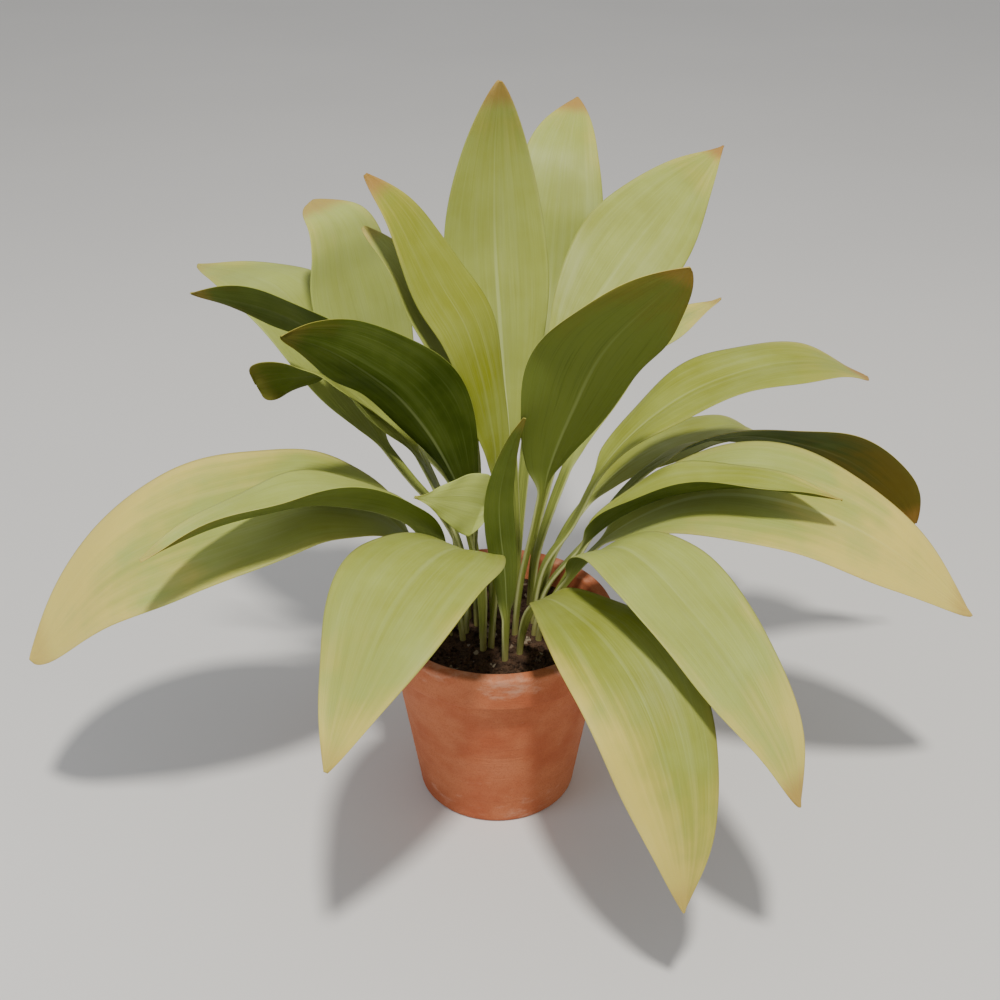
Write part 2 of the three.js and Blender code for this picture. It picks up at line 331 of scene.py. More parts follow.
LEAVES = [
    Leaf("leaf_01", (18, 17), 105, 86, 0.36, 12, (0, 0), 1.5,
         [(1, 60), (19, 143), (32, 185), (46, 217), (62, 275), (75, 324), (78, 366), (75, 416),
          (59, 467)],
         tone=0.05, age=0.1, spot=0.7, rib=0.6),
    Leaf("leaf_02", (17, 28), 77, 86, 0.36, 12, (10, 10), 2,
         [(12, 70), (38, 142), (133, 261), (159, 329), (188, 374), (253, 405)],
         tone=0, age=0.15, spot=0.8, rib=0.2, widest=0.52, tip=0.75),
    Leaf("leaf_03", (30, 36), 50, 90, 0.46, 12, (32, 32), 2,
         [(10, 80), (34, 150), (28, 226), (62, 258), (105, 287), (152, 315), (212, 344),
          (278, 367)],
         tone=0.1, age=0.2, spot=0.9, rib=0.2, widest=0.48, tip=1.1),
    # leaf_04's low tone lifts its painted-shade underside colours back up as painted light, so this
    # underside reads lighter than the undersides in shadow.
    Leaf("leaf_04", (16, -10), 324, 106, 0.4, 18, (-26, -42), 2,
         [(6, 60), (19, 118), (32, 178), (54, 239), (81, 297), (149, 378)],
         tone=-0.6, age=0.4, spot=0.4, rib=0.2, widest=0.57, tip=0.85),
    Leaf("leaf_05", (-3, -5), 170, 53, 0.36, 12, (-36, -40), 2,
         [(2, 76), (-2, 178), (2, 209), (11, 255), (23, 294), (40, 324), (56, 354), (74, 385),
          (98, 412)],
         tone=0.55, age=0.12, spot=0.8, rib=0.12, widest=0.6, tip=0.85),
    Leaf("leaf_06", (-18, 5), 163, 52, 0.48, 14, (-14, -14), 2,
         [(2, 69), (-2, 169), (9, 224), (19, 258), (31, 288), (42, 308), (55, 327), (71, 345),
          (91, 364)],
         tone=0, age=0.1, spot=0.3, rib=0.3),
    Leaf("leaf_07", (-16, 22), 142, 104, 0.4, 12, (0, 0), 2,
         [(6, 78), (30, 129), (64, 152), (94, 183), (110, 211), (122, 241), (128, 264), (138, 297),
          (144, 326), (154, 342), (181, 352)],
         tone=-0.3, age=0.12, spot=0.6, rib=0.2, widest=0.58, tip=0.5),
    Leaf("leaf_08", (-26, 16), 145, 98, 0.42, 12, (0, 0), 2,
         [(8, 70), (30, 102), (62, 126), (94, 154), (122, 184), (155, 226), (204, 272), (305, 273)],
         tone=-0.1, age=0.15, spot=0.3, rib=0.2, widest=0.58, tip=1),
    Leaf("leaf_09", (-35, 10), 174, 74, 0.46, 14, (40, 54), 2,
         [(2, 91), (28, 170), (52, 216), (86, 258), (118, 282), (148, 296), (182, 304), (214, 308)],
         tone=0.25, age=0.1, spot=0.3, rib=0.1),
    Leaf("leaf_10", (-13, -15), 207, 96, 0.38, 52, (48, 70), 2,
         [(2, 60), (12, 110), (21, 159), (30, 182), (45, 213), (63, 242), (78, 261), (104, 286),
          (122, 301), (141, 313), (162, 322)],
         tone=0.5, age=0.1, spot=0.1, rib=0.25),
    Leaf("leaf_11", (-27, -7), 176, 44, 0.54, 12, (-14, 80), 2,
         [(2, 80), (20, 135), (47, 191), (77, 221), (101, 241), (116, 249), (132, 248), (154, 244),
          (170, 239)],
         tone=0.1, age=0.1, spot=0.1, rib=0.2, widest=0.9, tip=0.2),
    Leaf("leaf_12", (-42, -10), 191, 140, 0.22, 10, (-16, -16), 2,
         [(8, 50), (28, 96), (53, 129), (82, 146), (112, 155), (157, 149), (226, 132), (284, 103),
          (358, 22)],
         tone=0, age=0.75, spot=0.3, rib=0.2, lean=0.15, widest=0.52, tip=0.66),
    Leaf("leaf_13", (-30, -20), 208, 84, 0.26, 50, (12, 22), 2,
         [(6, 40), (24, 90), (46, 132), (69, 150), (90, 161), (129, 175), (163, 178), (212, 177),
          (269, 165)],
         tone=-0.2, age=0.25, spot=0.2, rib=0.2, lean=-0.1),
    Leaf("leaf_14", (-12, -34), 245, 112, 0.26, 12, (0, 0), 2,
         [(2, 60), (14, 103), (51, 134), (111, 148), (165, 137), (217, 100), (259, 65)],
         tone=0.2, age=0.4, spot=0.3, rib=0.2, widest=0.42, tip=0.95),
    Leaf("leaf_15", (-5, -30), 216, 45, 0.68, 4, (-80, -80), 1,
         [(-4, 52), (-7, 91), (-8, 116), (-5, 132), (5, 144), (23, 155), (74, 178)],
         tone=-0.35, age=0.1, spot=0.2, rib=0.1, widest=0.16, tip=1.5),
    Leaf("leaf_16", (7, -48), 326, 20, 0.25, 16, (-50, -50), 0,
         [(1, 63), (-1, 97), (-5, 130), (-6, 158), (-1, 188), (8, 218), (18, 240)],
         tone=0, age=0.2, spot=0.2, rib=0.2, widest=0.5, tip=0.9),
    Leaf("leaf_17", (20, -38), 297, 92, 0.2, 12, (6, 14), 2,
         [(6, 30), (22, 62), (48, 86), (90, 98), (134, 102), (180, 92), (211, 72), (234, 42),
          (256, -6), (267, -66)],
         tone=0.4, age=0.6, spot=0.3, rib=0.2, lean=0.25, widest=0.5, tip=0.95),
    Leaf("leaf_18", (37, -18), 308, 90, 0.24, 14, (0, 0), 2,
         [(7, 30), (24, 62), (50, 100), (75, 130), (102, 146), (138, 144), (174, 131), (211, 114),
          (246, 90), (279, 59), (302, 21)],
         tone=-0.05, age=0.4, spot=0.6, rib=0.2),
    Leaf("leaf_19", (42, 2), 351, 112, 0.24, 18, (20, 20), 2,
         [(10, 34), (29, 68), (58, 104), (89, 128), (121, 144), (156, 151), (203, 147), (252, 131),
          (298, 105), (365, 52)],
         tone=0, age=0.75, spot=0.4, rib=0.5, lean=0.1),
    Leaf("leaf_20", (33, -9), 349, 66, 0.34, 50, (-10, -10), 2,
         [(10, 49), (27, 79), (48, 107), (70, 129), (104, 151), (135, 162), (174, 169), (250, 166)],
         tone=0.4, age=0.2, spot=0.2, rib=0.2),
    Leaf("leaf_21", (42, 16), 21, 98, 0.34, 10, (-30, -50), 2,
         [(16, 30), (54, 92), (91, 130), (138, 150), (184, 152), (242, 136), (311, 102), (370, 52),
          (400, 14)],
         tone=0.5, age=0.8, spot=0.5, rib=0.1),
    Leaf("leaf_22", (32, 8), 16, 84, 0.36, 14, (0, 0), 2,
         [(10, 60), (34, 96), (68, 160), (128, 208), (198, 228), (256, 226), (306, 206)],
         tone=0.4, age=0.25, spot=0.8, rib=0.3, widest=0.64, tip=0.5),
    Leaf("leaf_23", (40, 30), 38, 66, 0.34, 12, (0, 0), 2,
         [(12, 50), (40, 86), (85, 113), (129, 124), (190, 123), (244, 113), (290, 86)],
         tone=0.35, age=0.3, spot=0.2, rib=0.3),
    Leaf("leaf_24", (32, 20), 42, 44, 0.4, 12, (0, 0), 2,
         [(4, 60), (18, 98), (54, 162), (100, 220), (160, 238), (234, 246)],
         tone=-0.35, age=0.5, spot=0.5, rib=0.1),
]


# Leaf shape


def smoothstep(x, low, high):
    t = np.clip((x - low) / (high - low), 0, 1)
    return t * t * (3 - 2 * t)


def curve_point(points, share):
    """A centripetal Catmull-Rom curve through points, at a share of its parameter."""
    last = len(points) - 1
    place = min(max(share, 0), 1) * last
    i = min(int(place), last - 1)
    weight = place - i
    p1, p2 = points[i], points[i + 1]
    p0 = points[i - 1] if i > 0 else 2 * points[0] - points[1]
    p3 = points[i + 2] if i + 2 <= last else 2 * points[last] - points[last - 1]
    d0, d1, d2 = (np.linalg.norm(b - a) ** 0.5 for a, b in ((p0, p1), (p1, p2), (p2, p3)))
    t1 = ((p1 - p0) / d0 - (p2 - p0) / (d0 + d1) + (p2 - p1) / d1) * d1
    t2 = ((p2 - p1) / d1 - (p3 - p1) / (d1 + d2) + (p3 - p2) / d2) * d1
    c2 = -3 * p1 + 3 * p2 - 2 * t1 - t2
    c3 = 2 * p1 - 2 * p2 + t1 + t2
    return p1 + t1 * weight + c2 * weight ** 2 + c3 * weight ** 3


def midrib(leaf, shares):
    """Points, directions and distances from the foot along the midrib, at these shares of its length."""
    bearing = math.radians(leaf.bearing)
    out = np.array([math.cos(bearing), math.sin(bearing), 0])
    foot = np.array([*leaf.foot, SOIL_TOP], float)
    profile = [(0, up) for up in STALK_UPRIGHT] + leaf.path
    points = [foot + out * along + np.array([0, 0, up]) for along, up in profile]
    places = np.linspace(0, 1, CURVE_DIVISIONS + 1)
    drawn = np.array([curve_point(points, t) for t in places])
    run = np.concatenate([[0], np.cumsum(np.linalg.norm(np.diff(drawn, axis=0), axis=1))])
    at = np.interp(np.asarray(shares) * run[-1], run, places)
    centres = np.array([curve_point(points, t) for t in at])
    ahead = np.array([curve_point(points, t + TANGENT_STEP) for t in at])
    behind = np.array([curve_point(points, t - TANGENT_STEP) for t in at])
    along = ahead - behind
    along /= np.linalg.norm(along, axis=1, keepdims=True)
    return centres, along, np.asarray(shares) * run[-1]


def outline(leaf, blade):
    """The blade's width, from 0 at its neck and its tip to 1 where it is widest."""
    low = np.sin(np.pi / 2 * np.clip(blade / leaf.widest, 0, 1)) ** NECK_TAPER
    rest = np.clip((blade - leaf.widest) / (1 - leaf.widest), 0, 1)
    high = np.maximum(0, np.cos(np.pi / 2 * rest)) ** leaf.tip
    return np.where(blade < leaf.widest, low, high)


def leaf_surface(leaf, shares, across, sign):
    """One face of the leaf as a grid of points in mm: sign is 1 for its upper face, -1 for its underside."""
    centres, along, _ = midrib(leaf, shares)
    blade = np.clip((shares - leaf.neck) / (1 - leaf.neck), 0, 1)
    flat = smoothstep(blade, 0, FLATTENING)
    wing = smoothstep(shares / leaf.neck, WING_FROM, 1)
    stalk_half = STALK_RADIUS * (1 + STALK_WING * wing)
    stalk_depth = STALK_RADIUS * (1 - STALK_THINNING * wing)
    least = np.maximum(TIP_WIDTH / 2, stalk_half * (1 - blade))
    half = leaf.width / 2 * outline(leaf, blade) + least

    bearing = math.radians(leaf.bearing)
    left = np.tile([-math.sin(bearing), math.cos(bearing), 0], (len(shares), 1))
    left -= along * np.sum(left * along, axis=1, keepdims=True)
    left /= np.linalg.norm(left, axis=1, keepdims=True)
    up = np.cross(along, left)
    roll = np.radians(leaf.roll[0] + (leaf.roll[1] - leaf.roll[0]) * blade ** 2) * flat
    side = left * np.cos(roll)[:, None] + up * np.sin(roll)[:, None]
    face = up * np.cos(roll)[:, None] - left * np.sin(roll)[:, None]

    b, f, h, a = blade[:, None], flat[:, None], half[:, None], across[None, :]
    fold = np.radians(leaf.fold) * (1 - FOLD_EASING * b)
    keel = np.sqrt(a ** 2 + KEEL_ROUNDING ** 2) - KEEL_ROUNDING
    wave = leaf.ripple * a ** 2 * np.sin(b * WAVE_TURNS + 2 * (1 + a) * WAVE_SHIFT) * f
    pleats = PLEAT_DEPTH * np.cos(a * PLEATS * np.pi) * smoothstep(b, *PLEAT_START) * (1 - b) * (1 - a ** 2)
    skin = EDGE_THICKNESS + (BLADE_THICKNESS - EDGE_THICKNESS) * np.sqrt(1 - EDGE_FULLNESS * a ** 4)
    rib = MIDRIB_DEPTH * (1 - b) * np.exp(-(a * h / MIDRIB_REACH) ** 2)
    groove = GROOVE_DEPTH * (1 - b) * np.exp(-(a * h / GROOVE_REACH) ** 2)
    depth = sign * skin / 2 - (rib if sign < 0 else groove)
    lift = keel * h * np.sin(fold) - a ** 2 * h * MARGIN_DROOP + wave + pleats + depth

    angle = np.radians(90 - STALK_ARC * a)
    channel = 1 - STALK_CHANNEL * np.exp(-(a / CHANNEL_REACH) ** 2) * (sign > 0)
    sideways = stalk_half[:, None] * np.cos(angle) * (1 - f) + a * h * np.cos(fold) * f
    upwards = sign * stalk_depth[:, None] * np.sin(angle) * channel * (1 - f) + lift * f
    sideways, upwards = sideways[:, :, None], upwards[:, :, None]
    return centres[:, None, :] - side[:, None, :] * sideways + face[:, None, :] * upwards


# Materials


def linear(hex_colour):
    """An sRGB hex colour as the linear RGBA that shaders use."""
    parts = [((hex_colour >> shift) & 255) / 255 for shift in (16, 8, 0)]
    return (*[c / 12.92 if c <= 0.04045 else ((c + 0.055) / 1.055) ** 2.4 for c in parts], 1)


def add(tree, kind, inputs=(), **settings):
    """Adds a node. inputs maps a socket to a value, or to another node's output to link."""
    node = tree.nodes.new(kind)
    for name, value in settings.items():
        setattr(node, name, value)
    for socket, value in dict(inputs).items():
        if isinstance(value, bpy.types.NodeSocket):
            tree.links.new(value, node.inputs[socket])
        else:
            node.inputs[socket].default_value = value
    return node


def calc(tree, operation, *values):
    return add(tree, "ShaderNodeMath", dict(enumerate(values)), operation=operation).outputs[0]


def step(tree, value, low, high, start=0.0, end=1.0):
    """A smooth step from start at low to end at high."""
    inputs = {0: value, 1: low, 2: high, 3: start, 4: end}
    return add(tree, "ShaderNodeMapRange", inputs, interpolation_type="SMOOTHSTEP").outputs[0]


def blend(tree, factor, first, second):
    first, second = (linear(c) if isinstance(c, int) else c for c in (first, second))
    return add(tree, "ShaderNodeMix", {0: factor, 6: first, 7: second}, data_type="RGBA").outputs[2]


def grid(tree, x, y, z, *scales):
    """A pattern vector of these three coordinates, each times its scale."""
    scaled = [calc(tree, "MULTIPLY", v, s) if isinstance(v, bpy.types.NodeSocket) else v
              for v, s in zip((x, y, z), scales)]
    return add(tree, "ShaderNodeCombineXYZ", dict(enumerate(scaled))).outputs[0]


def noise(tree, vector, scale=1.0, detail=2.0, roughness=0.5):
    inputs = {"Vector": vector, "Scale": scale, "Detail": detail, "Roughness": roughness}
    return add(tree, "ShaderNodeTexNoise", inputs).outputs[0]


def new_material(name, roughness, specular):
    material = bpy.data.materials.new(name)
    material.use_nodes = True
    tree = material.node_tree
    tree.nodes.clear()
    shader = add(tree, "ShaderNodeBsdfPrincipled", {"Roughness": roughness, "Specular IOR Level": specular})
    add(tree, "ShaderNodeOutputMaterial", {"Surface": shader.outputs[0]})
    return material, tree, shader


def bump(tree, shader, height, distance, strength):
    made = add(tree, "ShaderNodeBump", {"Strength": strength, "Distance": distance, "Height": height})
    tree.links.new(made.outputs[0], shader.inputs["Normal"])


def leaf_material(name, skin):
    """Haran leaf: a waxy skin drawn into fine lengthways veins as the blade unrolls, with softer broad
    bands. The midrib is paler, and the margins, end and tip turn to straw and brown with age."""
    material, tree, shader = new_material(name, skin.roughness, skin.specular)
    growth = add(tree, "ShaderNodeUVMap", uv_map="growth").outputs[0]
    size = add(tree, "ShaderNodeUVMap", uv_map="size").outputs[0]
    look = add(tree, "ShaderNodeAttribute", attribute_name="look").outputs
    across, blade, _ = add(tree, "ShaderNodeSeparateXYZ", {0: growth}).outputs
    wide, run, _ = add(tree, "ShaderNodeSeparateXYZ", {0: size}).outputs
    tone, age, spot = add(tree, "ShaderNodeSeparateColor", {0: look["Color"]}).outputs
    side = calc(tree, "ABSOLUTE", across)
    mixed = calc(tree, "ADD", tone, calc(tree, "MULTIPLY", spot, SPOT_SEED))
    seed = calc(tree, "MULTIPLY", mixed, SEED_SPREAD)

    fine = grid(tree, across, run, seed, HALF_BLADE / VEIN_PITCH, 1 / (VEIN_RUN * MM), 1)
    broad = grid(tree, across, run, seed, HALF_BLADE / BAND_PITCH, 1 / (BAND_RUN * MM), 1)
    patch = grid(tree, wide, run, seed, *[1 / (CLOUD_SIZE * MM)] * 2, 1)
    dots = grid(tree, wide, run, seed, *[1 / (FLECK_SIZE * MM)] * 2, 1)
    veins = noise(tree, fine, detail=3)
    bands = noise(tree, broad, detail=2)
    cloud = noise(tree, patch, detail=3)
    fleck = noise(tree, dots, detail=4, roughness=0.7)

    drift = calc(tree, "MULTIPLY_ADD", cloud, *TONE_DRIFT)
    green = blend(tree, calc(tree, "ADD", tone, drift), skin.young, skin.deep)
    green = blend(tree, step(tree, bands, *BAND_LEVELS, 0, BAND_STRENGTH), green, skin.band)
    green = blend(tree, step(tree, veins, *VEIN_LEVELS, 0, VEIN_STRENGTH), green, skin.vein)
    green = blend(tree, step(tree, veins, *GLINT_LEVELS, 0, GLINT_STRENGTH), green, skin.glint)

    wander = calc(tree, "MULTIPLY_ADD", bands, *WANDER)
    lead = calc(tree, "MULTIPLY_ADD", calc(tree, "POWER", side, 2.0), MARGIN_LEAD, wander)
    end = calc(tree, "ADD", blade, lead)
    lean = add(tree, "ShaderNodeAttribute", attribute_name="lean").outputs["Fac"]
    end = calc(tree, "MULTIPLY_ADD", lean, across, end)
    end = calc(tree, "MULTIPLY_ADD", cloud, CLOUD_LEAD, calc(tree, "ADD", end, CLOUD_MIDDLE))
    first = calc(tree, "MULTIPLY_ADD", age, *OLD_FROM)
    old = step(tree, end, first, calc(tree, "ADD", first, OLD_REACH))
    old = calc(tree, "MULTIPLY", old, calc(tree, "MULTIPLY_ADD", age, *OLD_STRENGTH))
    green = blend(tree, old, green, skin.old)
    rim = step(tree, calc(tree, "MULTIPLY_ADD", wander, RIM_WANDER, side), *RIM_PLACE)
    rim = calc(tree, "MULTIPLY", rim, calc(tree, "MULTIPLY_ADD", age, *RIM_STRENGTH))
    green = blend(tree, rim, green, skin.margin)
    brown = step(tree, calc(tree, "MULTIPLY_ADD", wander, BROWN_WANDER, blade), *BROWN_PLACE)
    green = blend(tree, calc(tree, "MULTIPLY", brown, spot), green, TIP_BROWN)
    green = blend(tree, step(tree, fleck, *FLECK_LEVELS, 0, FLECK_STRENGTH), green, FLECK_BROWN)

    line = step(tree, blade, 0, 1, *RIB_HALF_WIDTHS)
    line = step(tree, side, line, calc(tree, "MULTIPLY", line, RIB_CORE))
    line = calc(tree, "MULTIPLY", line, step(tree, blade, *RIB_PLACE, RIB_LEAST, 1))
    green = blend(tree, calc(tree, "MULTIPLY", line, look["Alpha"]), green, MIDRIB_PALE)

    stalk = blend(tree, step(tree, veins, *STRIPE_LEVELS), STALK_GREEN, STALK_DARK)
    stalk = blend(tree, step(tree, side, *STALK_RIM_PLACE, 0, STALK_RIM_STRENGTH), stalk, STALK_PALE)
    green = blend(tree, step(tree, blade, *STALK_END), green, stalk)
    green = blend(tree, step(tree, run, FOOT_RUN * MM, STALK_DEPTH * MM), green, STALK_FOOT)
    tree.links.new(green, shader.inputs["Base Color"])

    shine = calc(tree, "MULTIPLY_ADD", cloud, CLOUD_DULLING, skin.roughness)
    tree.links.new(calc(tree, "MULTIPLY_ADD", old, OLD_DULLING, shine), shader.inputs["Roughness"])
    bump(tree, shader, calc(tree, "MULTIPLY_ADD", bands, BAND_RELIEF, veins), VEIN_RELIEF * MM, LEAF_RELIEF)
    shader.inputs["Subsurface Weight"].default_value = GLOW
    shader.inputs["Subsurface Radius"].default_value = GLOW_REACH
    shader.inputs["Subsurface Scale"].default_value = GLOW_DEPTH * MM
    return material


def clay_material():
    """Terracotta: red clay with fine grain, soft rings from throwing, and pale bloom where water dries."""
    material, tree, shader = new_material("fired_terracotta", roughness=0.85, specular=0.25)
    place = add(tree, "ShaderNodeTexCoord").outputs["Object"]
    x, y, z = add(tree, "ShaderNodeSeparateXYZ", {0: place}).outputs
    grain = noise(tree, place, 1 / (CLAY_GRAIN * MM), detail=4, roughness=0.7)
    cloud = noise(tree, place, 1 / (CLAY_CLOUD * MM), detail=4, roughness=0.6)
    squashed = grid(tree, x, y, z, 1, 1, BLOOM_SQUASH)
    bloom = noise(tree, squashed, 1 / (BLOOM_SIZE * MM), detail=5, roughness=0.65)
    stretched = grid(tree, x, y, z, RING_STRETCH, RING_STRETCH, 1)
    rings = noise(tree, stretched, 1 / (RING_PITCH * MM), detail=2)
    clay = blend(tree, step(tree, cloud, *CLOUD_LEVELS), CLAY_RED, CLAY_ORANGE)
    clay = blend(tree, step(tree, grain, *GRAIN_LEVELS, 0, GRAIN_STRENGTH), clay, CLAY_DARK)
    low = step(tree, z, *[h * MM for h in BLOOM_FOOT], 0, BLOOM_FOOT_GAIN)
    high = step(tree, z, *[h * MM for h in BLOOM_RIM], 0, BLOOM_RIM_GAIN)
    level = calc(tree, "ADD", bloom, calc(tree, "ADD", low, high))
    clay = blend(tree, step(tree, level, *BLOOM_LEVELS, 0, BLOOM_STRENGTH), clay, CLAY_BLOOM)
    tree.links.new(clay, shader.inputs["Base Color"])
    tree.links.new(step(tree, level, *DRYING_LEVELS, *CLAY_ROUGHNESS), shader.inputs["Roughness"])
    bump(tree, shader, calc(tree, "MULTIPLY_ADD", rings, RING_RELIEF, grain), CLAY_RELIEF * MM, CLAY_BUMP)
    return material


def soil_material():
    """Potting soil: dark crumbs of peat and bark, each its own shade, with a few pale grains."""
    material, tree, shader = new_material("potting_soil_crumbs", roughness=0.95, specular=0.2)
    place = add(tree, "ShaderNodeTexCoord").outputs["Object"]
    cells = {"Vector": place, "Scale": 1 / (SOIL_CRUMB * MM)}
    crumb = add(tree, "ShaderNodeTexVoronoi", cells).outputs["Color"]
    shade = add(tree, "ShaderNodeSeparateColor", {0: crumb}).outputs
    fine = noise(tree, place, 1 / (SOIL_GRAIN * MM), detail=4, roughness=0.7)
    soil = blend(tree, shade[0], SOIL_DARK, SOIL_BROWN)
    soil = blend(tree, step(tree, fine, *BLACK_LEVELS, 0, BLACK_STRENGTH), soil, SOIL_BLACK)
    soil = blend(tree, step(tree, shade[1], *PALE_LEVELS, 0, PALE_STRENGTH), soil, SOIL_PALE)
    tree.links.new(soil, shader.inputs["Base Color"])
    tree.links.new(step(tree, fine, *DAMP_LEVELS, *SOIL_ROUGHNESS), shader.inputs["Roughness"])
    bump(tree, shader, fine, SOIL_RELIEF * MM, SOIL_BUMP)
    return material


def floor_material():
    """Studio floor: pale matte paint, rolled on, so its tone drifts a little."""
    material, tree, shader = new_material("studio_floor_paint", roughness=0.8, specular=0.2)
    place = add(tree, "ShaderNodeTexCoord").outputs["Object"]
    drift = noise(tree, place, FLOOR_PATCHES, detail=3)
    paint = blend(tree, drift, FLOOR_PALE, FLOOR_GREY)
    tree.links.new(paint, shader.inputs["Base Color"])
    return material


# Pieces


def new_object(name, verts, faces, materials):
    """A smooth mesh object from vertices in mm."""
    mesh = bpy.data.meshes.new(name)
    mesh.from_pydata([tuple(v) for v in np.asarray(verts) * MM], [], faces)
    mesh.shade_smooth()
    for material in materials:
        mesh.materials.append(material)
    made = bpy.data.objects.new(name, mesh)
    bpy.context.collection.objects.link(made)
    return made


def new_piece(name, verts, faces, materials, node):
    """A mesh piece that rides the frame in place of its CAD node."""
    piece = new_object(name, verts, faces, materials)
    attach(piece, "root")
    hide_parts(node)
    return piece


def write_uv(mesh, name, values):
    """values holds one (u, v) for each vertex."""
    layer = mesh.uv_layers.new(name=name)
    corner = np.empty(len(mesh.loops), int)
    mesh.loops.foreach_get("vertex_index", corner)
    layer.data.foreach_set("uv", np.asarray(values, np.float32)[corner].ravel())


def make_leaf(leaf, materials):
    stalk = leaf.neck * np.arange(STALK_RINGS) / STALK_RINGS
    crowded = (1 - np.arange(BLADE_RINGS + 1) / BLADE_RINGS) ** TIP_CROWDING
    shares = np.concatenate([stalk, 1 - (1 - leaf.neck) * crowded])
    even = np.linspace(-1, 1, ACROSS_POINTS)
    across = np.sin(even * np.pi / 2) * MARGIN_CROWDING + even * (1 - MARGIN_CROWDING)
    over = leaf_surface(leaf, shares, across, 1)
    under = leaf_surface(leaf, shares, across, -1)
    rows, cols = over.shape[:2]
    o = np.arange(rows * cols).reshape(rows, cols)
    u = o + rows * cols
    upper = np.stack([o[:-1, :-1], o[:-1, 1:], o[1:, 1:], o[1:, :-1]], -1).reshape(-1, 4)
    lower = np.stack([u[:-1, :-1], u[1:, :-1], u[1:, 1:], u[:-1, 1:]], -1).reshape(-1, 4)
    right = np.stack([o[:-1, -1], u[:-1, -1], u[1:, -1], o[1:, -1]], -1)
    left = np.stack([u[:-1, 0], o[:-1, 0], o[1:, 0], u[1:, 0]], -1)
    foot = np.stack([o[0, :-1], u[0, :-1], u[0, 1:], o[0, 1:]], -1)
    end = np.stack([o[-1, :-1], o[-1, 1:], u[-1, 1:], u[-1, :-1]], -1)
    faces = np.concatenate([upper, right, left, foot, end, lower])
    verts = np.concatenate([over.reshape(-1, 3), under.reshape(-1, 3)])
    piece = new_piece(f"haran_{leaf.name}", verts, faces.tolist(), materials, leaf.name)
    mesh = piece.data
    slots = np.zeros(len(faces), int)
    slots[-len(lower):] = 1
    mesh.polygons.foreach_set("material_index", slots)

    blade = (shares - leaf.neck) / (1 - leaf.neck)
    run = midrib(leaf, shares)[2] * MM
    half = (leaf.width / 2 * outline(leaf, np.clip(blade, 0, 1)) + STALK_RADIUS) * MM
    growth = np.stack(np.broadcast_arrays(across[None, :], blade[:, None]), -1).reshape(-1, 2)
    size = np.stack(np.broadcast_arrays(across[None, :] * half[:, None], run[:, None]), -1).reshape(-1, 2)
    write_uv(mesh, "growth", np.concatenate([growth, growth]))
    write_uv(mesh, "size", np.concatenate([size, size]))
    look = mesh.attributes.new("look", "FLOAT_COLOR", "POINT")
    values = np.tile([leaf.tone, leaf.age, leaf.spot, leaf.rib], len(verts))
    look.data.foreach_set("color", values.astype(np.float32))
    lean = mesh.attributes.new("lean", "FLOAT", "POINT")
    lean.data.foreach_set("value", np.full(len(verts), leaf.lean, np.float32))


def lathe(profile, sides):
    """Vertices and faces of a closed solid turned about Z, from (radius, height) points, outside first."""
    verts, rings = [], []
    for radius, height in profile:
        if radius == 0:
            rings.append([len(verts)])
            verts.append((0, 0, height))
            continue
        rings.append(list(range(len(verts), len(verts) + sides)))
        turns = [2 * math.pi * i / sides for i in range(sides)]
        verts += [(radius * math.cos(t), radius * math.sin(t), height) for t in turns]
    faces = []
    for lower, upper in zip(rings, rings[1:]):
        for i in range(sides):
            j = (i + 1) % sides
            corners = [lower[i % len(lower)], lower[j % len(lower)]]
            corners += [upper[j % len(upper)], upper[i % len(upper)]]
            faces.append([c for n, c in enumerate(corners) if c not in corners[:n]])
    return verts, faces


def outer_radius(height):
    return POT_BASE_RADIUS + (POT_RIM_RADIUS - RIM_BAND_STEP - POT_BASE_RADIUS) * height / POT_HEIGHT


def inner_radius(height):
    return outer_radius(height) - POT_WALL


def rounded(corners, radius):
    """The corners of a profile, with each inner one rounded off."""
    points = [corners[0]]
    for before, corner, after in zip(corners, corners[1:], corners[2:]):
        here = Vector(corner)
        back, ahead = Vector(before) - here, Vector(after) - here
        reach = min(radius, back.length * ROUNDING_SHARE, ahead.length * ROUNDING_SHARE)
        start, stop = here + back.normalized() * reach, here + ahead.normalized() * reach
        for i in range(ROUNDING_STEPS + 1):
            t = i / ROUNDING_STEPS
            points.append(tuple(start * (1 - t) ** 2 + here * 2 * t * (1 - t) + stop * t ** 2))
    return [*points, corners[-1]]


def divided(points, pitch):
    """The same profile with no stretch longer than pitch."""
    fine = [points[0]]
    for a, b in zip(points, points[1:]):
        n = max(1, math.ceil(math.dist(a, b) / pitch))
        fine += [tuple(a[i] + (b[i] - a[i]) * k / n for i in (0, 1)) for k in range(1, n + 1)]
    return fine


